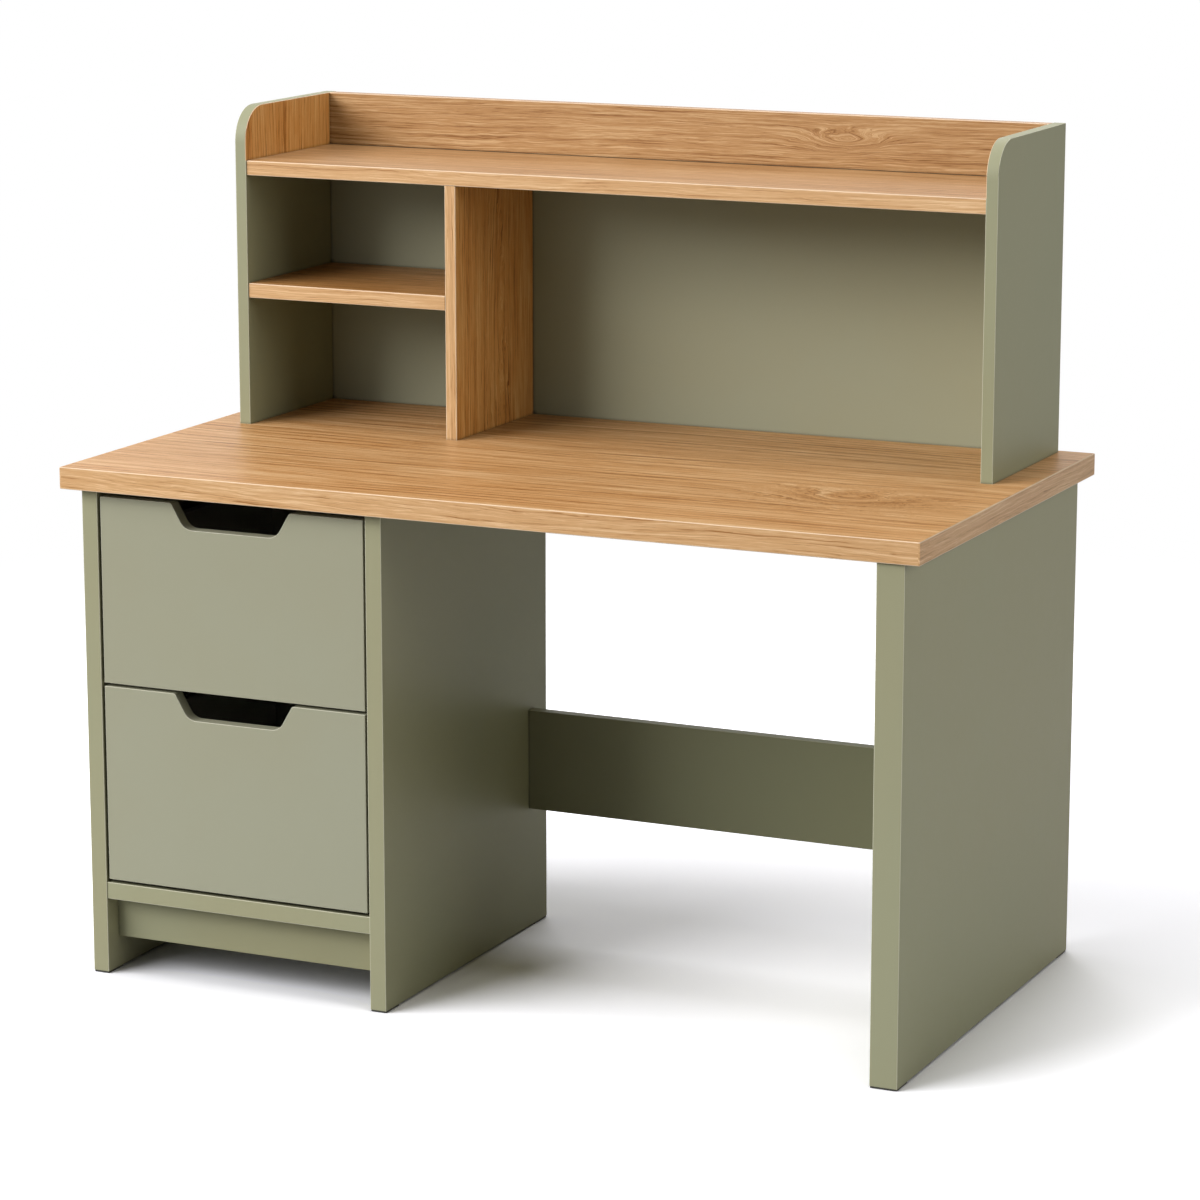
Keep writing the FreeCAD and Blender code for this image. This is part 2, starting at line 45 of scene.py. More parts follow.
def fill(tree, node, inputs):
    """Fills a node's inputs with plain values or with other nodes' outputs."""
    for name, value in inputs.items():
        if isinstance(value, bpy.types.NodeSocket):
            tree.links.new(value, node.inputs[name])
        else:
            node.inputs[name].default_value = value


def add(tree, kind, inputs=None, **settings):
    """Adds a shader node, sets its options and fills its inputs."""
    node = tree.nodes.new("ShaderNode" + kind)
    for name, value in settings.items():
        setattr(node, name, value)
    fill(tree, node, inputs or {})
    return node


def maths(tree, operation, first, second=0.0, third=0.0, clamp=False):
    """One step of arithmetic on numbers or sockets."""
    inputs = {0: first, 1: second, 2: third}
    return add(tree, "Math", inputs, operation=operation, use_clamp=clamp).outputs[0]


def vectors(tree, operation, first, second):
    """One step of arithmetic on vectors, axis by axis."""
    return add(tree, "VectorMath", {0: first, 1: second}, operation=operation).outputs[0]


def dotted(tree, first, second):
    """The dot product of two vectors, a number."""
    return add(tree, "VectorMath", {0: first, 1: second}, operation="DOT_PRODUCT").outputs["Value"]


def axis_share(tree, vector, axis):
    """How far a vector runs along an axis, without its sign."""
    return maths(tree, "ABSOLUTE", dotted(tree, vector, axis))


def mixed(tree, share, first, second):
    """The colour a share of the way from the first to the second, which are a Mix's sockets 6 and 7."""
    return add(tree, "Mix", {0: share, 6: first, 7: second}, data_type="RGBA").outputs[2]


def ramp(tree, value, start, end, low=0.0, high=1.0):
    """A smooth step: low where the value is under start, high where it is over end."""
    inputs = {0: value, 1: start, 2: end, 3: low, 4: high}
    return add(tree, "MapRange", inputs, interpolation_type="SMOOTHSTEP").outputs[0]


def noise(tree, vector, scales, detail=2.0, roughness=0.5, output="Fac"):
    """Soft noise with its own scale along each axis, which is the number of its features in a metre."""
    inputs = {
        "Vector": vectors(tree, "MULTIPLY", vector, scales),
        "Scale": 1.0,
        "Detail": detail,
        "Roughness": roughness,
    }
    return add(tree, "TexNoise", inputs).outputs[output]


def swung(tree, value, weight, base, clamp=False):
    """A base plus a weight times how far a noise is from its mean."""
    return maths(tree, "MULTIPLY_ADD", maths(tree, "SUBTRACT", value, NOISE_MEAN), weight, base, clamp)


print("node helpers ready")

# %% [markdown]
# ## Groups and materials
# A circuit that several finishes share is a node group, made once, with named sockets like a bought
# component. Each material has one Principled shader. Numbers that are the same all over are set on the
# shader's own sockets, and colour, roughness and bump come from the circuit.

# %% Groups, colours and materials
WHITE = (1.0, 1.0, 1.0, 1.0)
BLACK = (0.0, 0.0, 0.0, 1.0)


def new_group(name, inputs, outputs):
    """An empty node group: its tree, the named sockets that come in, and the node for the results."""
    tree = bpy.data.node_groups.new(name, "ShaderNodeTree")
    for label, kind, value in inputs:
        socket = tree.interface.new_socket(label, in_out="INPUT", socket_type="NodeSocket" + kind)
        socket.default_value = value
    for label, kind in outputs:
        tree.interface.new_socket(label, in_out="OUTPUT", socket_type="NodeSocket" + kind)
    return tree, tree.nodes.new("NodeGroupInput").outputs, tree.nodes.new("NodeGroupOutput")


def place(tree, group, inputs):
    """Puts a finished group into a material and fills its sockets."""
    node = tree.nodes.new("ShaderNodeGroup")
    node.node_tree = group
    fill(tree, node, inputs)
    return node.outputs


def shade(red, green, blue):
    """A colour of a paint chart, 0 to 255 in sRGB, turned into the linear light that shaders use."""
    parts = np.array([red, green, blue]) / 255
    linear = np.where(parts <= 0.04045, parts / 12.92, ((parts + 0.055) / 1.055) ** 2.4)
    return (*map(float, linear), 1.0)


def new_material(name, **settings):
    """A material with one Principled shader, whose plain numbers are set on its own sockets."""
    material = bpy.data.materials.new(name)
    material.use_nodes = True
    tree = material.node_tree
    shader = tree.nodes["Principled BSDF"]
    for label, value in settings.items():
        shader.inputs[label.replace("_", " ")].default_value = value
    return material, tree, shader


def join_finish(tree, shader, colour, rough, height=None, strength=0.0, depth=0.0):
    """Joins a circuit's colour, roughness and height to the shader. The bump's depth is in metres."""
    tree.links.new(colour, shader.inputs["Base Color"])
    tree.links.new(rough, shader.inputs["Roughness"])
    if height is not None:
        bump = add(tree, "Bump", {"Strength": strength, "Distance": depth, "Height": height})
        tree.links.new(bump.outputs[0], shader.inputs["Normal"])


def wear(material, *names):
    """Gives a finish to CAD nodes, in place of the plain colour that they came with."""
    for name in names:
        nodes[name].data.materials.clear()
        nodes[name].data.materials.append(material)
    print(material.name, "on", ", ".join(names))


print("a mid grey of the paint chart is", round(shade(128, 128, 128)[0], 3), "in linear light")

# %% [markdown]
# ## The eased arris
# No sharp corner leaves a workshop: every front edge is rounded by about a millimetre, and that strip
# catches light. The finishes paint that light in as a paler colour on the strip, a painted highlight. The
# rounding is real in the model, so a shader can find it from the surface normal alone. A board's broad face
# looks along one axis and its edges look across it. Only on the rounding is the normal between.

# %% Shared group: eased arris
def build_arris():
    """The mask is 4 m (1 - m), where m is how far the normal leans towards the broad face."""
    tree, given, result = new_group("eased_arris", [("Face", "Vector", (0, 0, 1))], [("Mask", "Float")])
    lean = axis_share(tree, add(tree, "TexCoord").outputs["Normal"], given["Face"])
    hump = maths(tree, "MULTIPLY", lean, maths(tree, "SUBTRACT", 1.0, lean))
    tree.links.new(maths(tree, "MULTIPLY", hump, 4.0, clamp=True), result.inputs["Mask"])
    return tree


arris = build_arris()
print("group", arris.name)

# %% [markdown]
# ## Painted joint shade
# Where two boards meet, or where a drawer front stands in its opening, the eye sees a thin dark line of
# shade. The finishes paint that shade into their colour. Ambient Occlusion gives how open a spot is within
# a few millimetres, so it finds every such place on any finish, and the colour darkens where it is closed.
# It suits boards that stay where they are: on a drawer front, the painted shade would have to stay behind
# when it opens.

# %% Shared group: painted joint shade
# A step has a start and an end, and what it gives before and after them.
JOINT_SHADE_KEEPS = (0.25, 0.8, 0.3, 1.0)
JOINT_SHADE_REACH = 0.008
JOINT_SHADE_RAYS = 8


def build_joint_shade_group():
    """Painted shade in joints: the share of the colour that is kept is a smooth step of how open the spot
    is.
    """
    tree, given, result = new_group("joint_shade_group", [
        ("Color", "Color", WHITE),
        ("Open", "Float", 1.0),
    ], [("Color", "Color")])
    kept = ramp(tree, given["Open"], *JOINT_SHADE_KEEPS)
    tree.links.new(mixed(tree, kept, BLACK, given["Color"]), result.inputs["Color"])
    return tree


def with_joint_shade(tree, colour):
    """A finish's colour with painted shade in its joints. The occlusion is read here, in the material
    itself.
    """
    occlusion = add(tree, "AmbientOcclusion", {"Distance": JOINT_SHADE_REACH}, samples=JOINT_SHADE_RAYS)
    return place(tree, joint_shade_group, {"Color": colour, "Open": occlusion.outputs["AO"]})["Color"]


joint_shade_group = build_joint_shade_group()
print("group", joint_shade_group.name, "within", JOINT_SHADE_REACH * 1000, "mm")

# %% [markdown]
# ## Oak figure
# Veneer shows several things at once. Growth rings make wavy bands that close into an eye where the log had
# a bump. Fibres make streaks that run with the rings, short flecks and fine hairs lie among them, thin dark
# threads between them, and open pores make short dashes. All of them are noise that is stretched along the
# grain. The rings are contour lines of a slow noise, which gives waves and arches without drawing any, and
# no two boards alike, since each reads its own place in space. A cutter chooses where a fine eye falls on a
# board, so the group takes one eye, with its place, reach and rings. Fineness says how tightly the figure
# is packed: a flat-cut board has a broad figure, a quarter-cut one a fine figure. Contrast says how far the
# darkest and the palest wood lie apart.

# %% Noises of the oak
# Scales are features in a metre, along the grain and then both ways across it.
SWAY = {"scales": (3.4, 16.0, 16.0), "detail": 4.0, "roughness": 0.6, "output": "Color"}
SWAY_METRES = (0.0, 0.016, 0.016)
RAGGED = {"scales": (28.0, 85.0, 85.0)}
SLOW = {"scales": (1.1, 5.0, 5.0), "detail": 1.0, "roughness": 0.4}
PATCH = {"scales": (1.6, 6.0, 6.0), "detail": 1.0}
CLOUD = {"scales": (1.5, 40.0, 18.0)}
FIBRE = {"scales": (4.2, 180.0, 75.0), "detail": 4.0, "roughness": 0.66}
THREAD = {"scales": (2.4, 210.0, 85.0), "roughness": 0.55}
HAIR = {"scales": (16.0, 1000.0, 450.0), "roughness": 0.6}
FLECK = {"scales": (22.0, 420.0, 190.0), "roughness": 0.6}
DASH = {"scales": (60.0, 2600.0, 1200.0), "detail": 1.0}
print("a fibre's length, width and depth in mm:", [round(1000 / scale, 1) for scale in FIBRE["scales"]])

# %% Steps and weights of the oak
RING_ENDS = (0.9, 1.0, 1.0, 0.0)
PATCH_SHOWS = (0.38, 0.64, 0.15, 1.0)
EYE_SHOWS = (0.05, 0.4, 0.0, 1.0)
THREAD_LINE = (0.0, 0.035, 1.0, 0.0)
THREAD_BREAKS = (0.35, 0.6, 0.2, 1.0)
RING_BREAKS = (0.3, 0.6, 0.5, 1.2)
PORE_OPENS = (0.58, 0.7, 0.0, 1.0)
PORES_IN_RING = (0.05, 0.6, 1.0, 0.3)
DARK_TO_MIDDLE = (0.0, 0.5)
MIDDLE_TO_LIGHT = (0.5, 1.0)
RING_POWER = 3.0
RAGGED_SPREAD, RAGGED_LEAST = 1.6, 0.2
LEAF_TILT = 0.6
TONE_MEAN, TONE_PIVOT = 0.62, 0.55
CLOUD_TONE, HAIR_TONE, THREAD_TONE, PORE_TONE = 0.5, 1.0, -0.26, 0.2
FIBRE_HEIGHT, HAIR_HEIGHT, PORE_DEPTH = 0.5, 0.3, 0.6
NOWHERE = (50.0, 50.0, 50.0)
print("a thread darkens the wood by", -THREAD_TONE, "and a pore by", PORE_TONE)

# %% Rings of the oak
def swayed(tree, plain):
    """The coordinates, moved across the grain by a noise, so that no fibre is dead straight."""
    sway = vectors(tree, "SUBTRACT", noise(tree, plain, **SWAY), (NOISE_MEAN,) * 3)
    return vectors(tree, "ADD", plain, vectors(tree, "MULTIPLY", sway, SWAY_METRES))


def eye_bump(tree, plain, bent, eye, reach):
    """exp(-d d) at a distance d from the eye, counted in its reach. A noise makes the rings ragged."""
    from_eye = vectors(tree, "DIVIDE", vectors(tree, "SUBTRACT", bent, eye), reach)
    ragged = maths(tree, "MULTIPLY_ADD", noise(tree, plain, **RAGGED), RAGGED_SPREAD, RAGGED_LEAST)
    apart = maths(tree, "MULTIPLY", dotted(tree, from_eye, from_eye), ragged)
    return maths(tree, "POWER", math.e, maths(tree, "MULTIPLY", apart, -1.0))


def ring_phase(tree, given, bent, parts, bump):
    """The place across the grain over the ring spacing, plus a slow noise, plus the eye's bump."""
    across = maths(tree, "MULTIPLY_ADD", parts["Z"], LEAF_TILT, parts["Y"])
    phase = maths(tree, "DIVIDE", across, given["Ring spacing"])
    phase = maths(tree, "MULTIPLY_ADD", noise(tree, bent, **SLOW), given["Figure"], phase)
    return maths(tree, "MULTIPLY_ADD", bump, given["Eye rings"], phase)


def late_wood(tree, plain, saw, bump):
    """A ring darkens slowly and ends sharply. It shows in some patches of a leaf, and in the eye."""
    late = maths(tree, "MULTIPLY", maths(tree, "POWER", saw, RING_POWER), ramp(tree, saw, *RING_ENDS))
    patch = ramp(tree, noise(tree, plain, **PATCH), *PATCH_SHOWS)
    return maths(tree, "MULTIPLY", late, maths(tree, "MAXIMUM", patch, ramp(tree, bump, *EYE_SHOWS)))


print("ring helpers ready")

# %% Shared group: oak figure
def build_oak_figure():
    """Coordinates are metres with x along the grain. Streaks are noise along x and along the rings' phase,
    so they bend with the rings. A thread is a contour line of such a noise: it is dark where the noise is
    close to its mean."""
    tree, given, result = new_group("oak_figure", [
        ("Vector", "Vector", (0, 0, 0)),
        ("Eye", "Vector", NOWHERE),
        ("Eye reach", "Vector", (0.06, 0.02, 0.05)),
        ("Eye rings", "Float", 2.1),
        ("Ring spacing", "Float", 0.011),
        ("Figure", "Float", 4.0),
        ("Fineness", "Float", 1.0),
        ("Rings", "Float", 0.3),
        ("Streaks", "Float", 1.5),
        ("Flecks", "Float", 0.6),
        ("Contrast", "Float", 1.3),
        ("Light", "Color", WHITE),
        ("Middle", "Color", WHITE),
        ("Dark", "Color", WHITE),
    ], [("Color", "Color"), ("Pores", "Float"), ("Height", "Float")])
    plain = given["Vector"]
    bent = swayed(tree, plain)
    parts = add(tree, "SeparateXYZ", {0: bent}).outputs
    bump = eye_bump(tree, plain, bent, given["Eye"], given["Eye reach"])
    phase = ring_phase(tree, given, bent, parts, bump)
    saw = maths(tree, "FRACT", phase)
    late = late_wood(tree, plain, saw, bump)

    across = maths(tree, "MULTIPLY", phase, given["Ring spacing"])
    across = maths(tree, "MULTIPLY", across, given["Fineness"])
    deep = maths(tree, "MULTIPLY", parts["Z"], given["Fineness"])
    flow = add(tree, "CombineXYZ", {0: parts["X"], 1: across, 2: deep}).outputs[0]
    fibre = noise(tree, flow, **FIBRE)
    hair = noise(tree, flow, **HAIR)
    thread = maths(tree, "ABSOLUTE", maths(tree, "SUBTRACT", noise(tree, flow, **THREAD), NOISE_MEAN))
    thread = maths(tree, "MULTIPLY", ramp(tree, thread, *THREAD_LINE), ramp(tree, hair, *THREAD_BREAKS))
    pores = ramp(tree, noise(tree, flow, **DASH), *PORE_OPENS)
    pores = maths(tree, "MULTIPLY", pores, ramp(tree, saw, *PORES_IN_RING))
    late = maths(tree, "MULTIPLY", late, ramp(tree, hair, *RING_BREAKS))

    tone = swung(tree, fibre, given["Streaks"], TONE_MEAN)
    tone = swung(tree, noise(tree, flow, **CLOUD), CLOUD_TONE, tone)
    tone = swung(tree, noise(tree, flow, **FLECK), given["Flecks"], tone)
    tone = swung(tree, hair, HAIR_TONE, tone)
    tone = maths(tree, "MULTIPLY_ADD", thread, THREAD_TONE, tone)
    tone = maths(tree, "SUBTRACT", tone, maths(tree, "MULTIPLY", late, given["Rings"]))
    tone = maths(tree, "SUBTRACT", tone, maths(tree, "MULTIPLY", pores, PORE_TONE))
    apart = maths(tree, "SUBTRACT", tone, TONE_PIVOT)
    tone = maths(tree, "MULTIPLY_ADD", apart, given["Contrast"], TONE_PIVOT, clamp=True)
    lower = mixed(tree, ramp(tree, tone, *DARK_TO_MIDDLE), given["Dark"], given["Middle"])
    colour = mixed(tree, ramp(tree, tone, *MIDDLE_TO_LIGHT), lower, given["Light"])
    height = maths(tree, "MULTIPLY_ADD", fibre, FIBRE_HEIGHT, maths(tree, "MULTIPLY", hair, HAIR_HEIGHT))
    height = maths(tree, "SUBTRACT", height, maths(tree, "MULTIPLY", pores, PORE_DEPTH))
    tree.links.new(colour, result.inputs["Color"])
    tree.links.new(pores, result.inputs["Pores"])
    tree.links.new(height, result.inputs["Height"])
    return tree


oak_figure = build_oak_figure()
print("group", oak_figure.name, "with", len(oak_figure.nodes), "nodes")

# %% [markdown]
# ## Oak finishes
# The broad faces are veneer under a satin lacquer. The narrow faces are edge bands, a little paler. Grain
# runs along the length of each board, so a Mapping node turns the pattern on the upright ones. It also
# shifts each board to another part of the pattern, as a cutter takes each one from another leaf. Leaves
# differ in tone too: the shelves and the gallery rail are darker. The left facing, the middle shelf and the
# divider's right face stand in shade, and take a warmer, more saturated oak, which is painted warm bounce
# light. The divider's left face, lit by the key, keeps the plain oak. The bands of the top run round all
# four edges, so past its ends their grain turns to run from front to back.

# %% Tones and turns of the oak
VENEER = {"Light": shade(234, 192, 142), "Middle": shade(211, 157, 101), "Dark": shade(160, 102, 44)}
SHELF_VENEER = {"Light": shade(213, 172, 126), "Middle": shade(184, 136, 86), "Dark": shade(128, 78, 29)}
# Painted warm bounce light: warmer, more saturated copies of the oak for boards and faces in shade.
BOUNCE_WARMED_VENEER = {"Light": shade(248, 193, 124), "Middle": shade(229, 156, 81), "Dark": shade(152, 82, 13)}
CUBBY_BOUNCE_VENEER = {"Light": shade(213, 162, 106), "Middle": shade(184, 127, 68), "Dark": shade(128, 71, 18)}
BAND = {"Light": shade(244, 206, 160), "Middle": shade(219, 172, 121), "Dark": shade(160, 106, 52)}
BAND_FIGURE = {"Figure": 1.5, "Fineness": 1.8, "Contrast": 1.0}
# A painted highlight: the pale colour mixed onto the oak's rounded arris.
PAINTED_RIM_HIGHLIGHT = shade(250, 226, 196)
BACKING_FOIL = shade(70, 60, 48)
QUARTER = math.pi / 2
LYING = (0.0, 0.0, 0.0)
ON_EDGE = (-QUARTER, 0.0, 0.0)
ON_EDGE_END = (-QUARTER, -QUARTER, 0.0)
STANDING = (0.0, QUARTER, 0.0)
STANDING_EDGE = (QUARTER, 0.0, QUARTER)
X_FACE, Y_FACE, Z_FACE = (1, 0, 0), (0, 1, 0), (0, 0, 1)
print("five tones of oak, from", [round(x, 2) for x in CUBBY_BOUNCE_VENEER["Dark"][:3]], "up")

# %% [markdown]
# ## How a board gets its oak
# One function finishes every board. The painted highlight on the arris, the band on the edges, the dark
# foil under the top and the lit and shaded tones of the divider's two faces are all found from the normal,
# because the model's own faces tell them apart. Every board also takes painted shade in its joints. Light
# that bounces off the oak is greyer than the oak looks. Full colour would turn the painted cubby orange.

# %% Oak on a board
BOUNCED_OAK = shade(150, 133, 98)
LOOKS_RIGHT = (-0.1, 0.1)
LOOKS_DOWN = (-0.9, -0.5, 1.0, 0.0)
IS_EDGE = (0.55, 0.8)
OAK_HIGHLIGHT_SHARE = 0.85
OAK_ROUGH, PORE_ROUGH, FIBRE_ROUGH = 0.34, 0.2, 0.1
OAK_BUMP = {"strength": 0.25, "depth": 0.0004}
LACQUER_IOR = 1.5


def oak(name, turn, shift, face, edge=None, turn_past=None, backing=None, tones=VENEER, lit_left_tones=None,
        gloss=0.3, **figure):
    """Oak with its grain turned to suit the board, whose broad face looks along the given axis.
    An edge is the axis that its banded faces look along, with the turn of the band's own grain.
    Where x is past a limit, the grain turns to run along y.
    A backing is the colour of the balancing foil on faces that look down.
    Lit left tones go on faces that look to the left, towards the key, so that the given tones paint shade on
    faces that look to the right."""
    material, tree, shader = new_material(name, Specular_IOR_Level=gloss, IOR=LACQUER_IOR)
    coordinates = add(tree, "TexCoord").outputs

    def grain(rotation):
        inputs = {"Vector": coordinates["Object"], "Location": shift, "Rotation": rotation}
        return add(tree, "Mapping", inputs).outputs[0]

    turned = grain(turn)
    if turn_past is not None:
        past = maths(tree, "GREATER_THAN", axis_share(tree, coordinates["Object"], X_FACE), turn_past)
        inputs = {0: past, 4: turned, 5: grain(ON_EDGE_END)}
        turned = add(tree, "Mix", inputs, data_type="VECTOR").outputs[1]
    if lit_left_tones is not None:
        to_right = ramp(tree, dotted(tree, coordinates["Normal"], X_FACE), *LOOKS_RIGHT)
        tones = {label: mixed(tree, to_right, lit_left_tones[label], colour) for label, colour in tones.items()}
    settings = {label.replace("_", " "): value for label, value in figure.items()}
    board = place(tree, oak_figure, {"Vector": turned, **settings, **tones})
    colour = board["Color"]
    if edge is not None:
        axis, edge_turn = edge
        band = place(tree, oak_figure, {"Vector": grain(edge_turn), **BAND_FIGURE, **BAND})
        on_edge = ramp(tree, axis_share(tree, coordinates["Normal"], axis), *IS_EDGE)
        colour = mixed(tree, on_edge, colour, band["Color"])
    # Painted highlight: the rounded arris turns pale.
    highlight_mask = place(tree, arris, {"Face": face})["Mask"]
    colour = mixed(tree, maths(tree, "MULTIPLY", highlight_mask, OAK_HIGHLIGHT_SHARE), colour, PAINTED_RIM_HIGHLIGHT)
    if backing is not None:
        down = ramp(tree, dotted(tree, coordinates["Normal"], Z_FACE), *LOOKS_DOWN)
        colour = mixed(tree, down, colour, backing)
    # Painted shade darkens the oak in its joints, and rays that bounce take a greyer oak.
    bounced = add(tree, "LightPath").outputs["Is Diffuse Ray"]
    colour = mixed(tree, bounced, with_joint_shade(tree, colour), BOUNCED_OAK)
    rough = maths(tree, "MULTIPLY_ADD", board["Pores"], PORE_ROUGH, OAK_ROUGH)
    rough = maths(tree, "MULTIPLY_ADD", board["Height"], FIBRE_ROUGH, rough)
    join_finish(tree, shader, colour, rough, board["Height"], **OAK_BUMP)
    return material


def eye_at(spot, turn, shift):
    """Where a spot on the desk lies in a board's grain space, by its Mapping node's turn and shift."""
    return tuple(Euler(turn).to_matrix() @ Vector(spot) + Vector(shift))


print("oak ready, with lacquer of IOR", LACQUER_IOR)

# %% [markdown]
# ## The top
# The top is one broad flat-cut leaf, with wide rings and an eye near its right end. It is the largest
# piece of oak and lies in full light, so its figure gets the most settings, and its lacquer the least gloss.

# %% Oak on the top
TOP_SHIFT = (0.0, 0.0, 0.0)
TOP_EYE = (0.452, -0.118, 0.750)
board_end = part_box("desktop_board")[1].x
top_eye = eye_at(TOP_EYE, LYING, TOP_SHIFT)
top_figure = {
    "Fineness": 1.0,
    "Contrast": 1.35,
    "Flecks": 0.35,
    "Rings": 0.45,
    "Ring_spacing": 0.02,
    "Eye": top_eye,
    "Eye_reach": (0.085, 0.05, 0.1),
    "Eye_rings": 4.0,
}
top_oak = oak("desktop_oak", LYING, TOP_SHIFT, Z_FACE, backing=BACKING_FOIL, gloss=0.13, **top_figure)
band_oak = oak("desktop_band_oak", ON_EDGE, (0.3, 0.2, 0.1), Z_FACE, turn_past=board_end, tones=BAND,
               gloss=0.15, Fineness=1.8, Contrast=1.1)
wear(top_oak, "desktop_board")
wear(band_oak, "desktop_edge_bands")

# %% [markdown]
# ## Shelves and gallery rail
# One leaf could cover all three, but real boards never match, so each takes its own place in the pattern.
# The rail is cut finer than the shelves, with a small eye right of its middle.

# %% Oak on the hutch's shelves and rail
SHELF_EDGE = (Y_FACE, ON_EDGE)
RAIL_SHIFT = (3.3, 0.1, 0.3)
RAIL_EYE = (0.270, 0.328, 1.189)
rail_eye = eye_at(RAIL_EYE, ON_EDGE, RAIL_SHIFT)
top_shelf_oak = oak("top_shelf_oak", LYING, (1.7, 0.4, 0.2), Z_FACE, SHELF_EDGE, tones=SHELF_VENEER,
                    Fineness=0.9, Flecks=0.35)
# The middle shelf stands in the cubby's shade, and its warmer oak is painted warm bounce light.
middle_shelf_oak = oak("middle_shelf_oak", LYING, (2.9, 0.7, 0.5), Z_FACE, SHELF_EDGE, tones=CUBBY_BOUNCE_VENEER,
                       Fineness=0.9)
rail_oak = oak("gallery_rail_oak", ON_EDGE, RAIL_SHIFT, Y_FACE, tones=SHELF_VENEER, Fineness=1.9,
               Eye=rail_eye, Eye_reach=(0.05, 0.013, 0.05))
wear(top_shelf_oak, "hutch_top_shelf")
wear(middle_shelf_oak, "hutch_middle_shelf")
wear(rail_oak, "hutch_back_rail")

# %% [markdown]
# ## Divider and facings
# These stand upright, and so does their grain. A facing is the thin oak that lines a hutch side above the
# top shelf. Each board takes its own place in the pattern here too, so that no two faces match.

# %% Oak on the hutch's divider and facings
DIVIDER_EDGE = (Y_FACE, STANDING_EDGE)
DIVIDER_SHIFT = (5.1, 0.2, 0.9)
DIVIDER_EYE = (-0.234, 0.195, 0.930)
divider_eye = eye_at(DIVIDER_EYE, STANDING, DIVIDER_SHIFT)
# The divider's right face and the left facing stand in shade, and their warmer oak is painted warm bounce
# light. The divider's left face, lit by the key, keeps the plain oak.
divider_oak = oak("divider_oak", STANDING, DIVIDER_SHIFT, X_FACE, DIVIDER_EDGE, tones=BOUNCE_WARMED_VENEER,
                  lit_left_tones=VENEER, Fineness=1.4, Contrast=1.3, Eye=divider_eye,
                  Eye_reach=(0.2, 0.03, 0.1))
left_facing_oak = oak("left_facing_oak", STANDING, (6.3, 0.5, 0.2), X_FACE, tones=BOUNCE_WARMED_VENEER, Fineness=1.5)
right_facing_oak = oak("right_facing_oak", STANDING, (7.1, 0.3, 0.4), X_FACE, Fineness=1.5)
wear(divider_oak, "hutch_divider")
wear(left_facing_oak, "hutch_left_facing")
wear(right_facing_oak, "hutch_right_facing")

# %% [markdown]
# ## Sage lacquer
# The panels are board under several coats of sprayed lacquer. Spray leaves a faint orange peel and a slow
# drift of tone. Each arris takes a paler colour, a painted highlight where the rounding catches light. The
# drift is a wide noise, and the peel a bump of a few microns. The drawer fronts and the hutch's back are
# copies a little greyer than the uprights, a tint that stands in for the light they get, and the plinth and
# the stretcher, which sit in shade, darker copies: painted light and painted shade.

# %% Shared group: sprayed lacquer
DRIFT = {"scales": (2.2, 2.2, 2.2), "detail": 3.0, "roughness": 0.55}
SPECK = {"scales": (60.0, 60.0, 60.0)}
PEEL = {"scales": (330.0, 330.0, 330.0), "detail": 1.0}
FINE_PEEL = {"scales": (1100.0, 1100.0, 1100.0), "detail": 0.0}
DRIFT_TONE = (0.3, 0.7)
SPECK_TONE = 0.25
HIGHLIGHT_SHARE = 0.8
FINE_HEIGHT = 0.35
LACQUER_ROUGH, DRIFT_ROUGH, SPECK_ROUGH = 0.4, 0.1, 0.08


def build_lacquer():
    """Tone drifts between two near colours, and the arris takes a painted highlight. Peel is two noises,
    three millimetres and one across.
    """
    tree, given, result = new_group("sprayed_lacquer", [
        ("Vector", "Vector", (0, 0, 0)),
        ("Warm", "Color", WHITE),
        ("Cool", "Color", WHITE),
        ("Painted_highlight", "Color", WHITE),
        ("Arris", "Float", 0.0),
    ], [("Color", "Color"), ("Roughness", "Float"), ("Height", "Float")])
    drift = noise(tree, given["Vector"], **DRIFT)
    speck = noise(tree, given["Vector"], **SPECK)
    tone = swung(tree, speck, SPECK_TONE, ramp(tree, drift, *DRIFT_TONE), clamp=True)
    colour = mixed(tree, tone, given["Warm"], given["Cool"])
    colour = mixed(tree, maths(tree, "MULTIPLY", given["Arris"], HIGHLIGHT_SHARE), colour, given["Painted_highlight"])
    fine = noise(tree, given["Vector"], **FINE_PEEL)
    height = maths(tree, "MULTIPLY_ADD", fine, FINE_HEIGHT, noise(tree, given["Vector"], **PEEL))
    rough = maths(tree, "MULTIPLY_ADD", drift, DRIFT_ROUGH, LACQUER_ROUGH)
    rough = maths(tree, "MULTIPLY_ADD", speck, SPECK_ROUGH, rough)
    tree.links.new(colour, result.inputs["Color"])
    tree.links.new(rough, result.inputs["Roughness"])
    tree.links.new(height, result.inputs["Height"])
    return tree


lacquer = build_lacquer()
print("group", lacquer.name, "with", len(lacquer.nodes), "nodes")

# %% Lacquer on the panels
# Darker copies for the plinth and the stretcher are painted shade; tinted copies for the fronts and the
# hutch's back stand in for the light they get. The palest colour of each is a painted highlight for the
# arris.
SAGE = {"Warm": shade(164, 161, 129), "Cool": shade(164, 164, 134), "Painted_highlight": shade(222, 220, 198)}
SHADED_RAIL_SAGE = {"Warm": shade(150, 147, 115), "Cool": shade(150, 150, 121), "Painted_highlight": shade(200, 198, 172)}
SHADED_STRETCHER_SAGE = {"Warm": shade(125, 122, 93), "Cool": shade(125, 125, 97), "Painted_highlight": shade(172, 170, 145)}
LIGHT_TINTED_FRONT_SAGE = {"Warm": shade(165, 163, 139), "Cool": shade(166, 166, 144), "Painted_highlight": shade(232, 230, 212)}
LIGHT_TINTED_BACK_SAGE = {"Warm": shade(169, 164, 136), "Cool": shade(169, 167, 142), "Painted_highlight": shade(205, 203, 182)}
SAGE_GLOSS = 0.2
SAGE_BUMP = {"strength": 0.12, "depth": 0.0002}


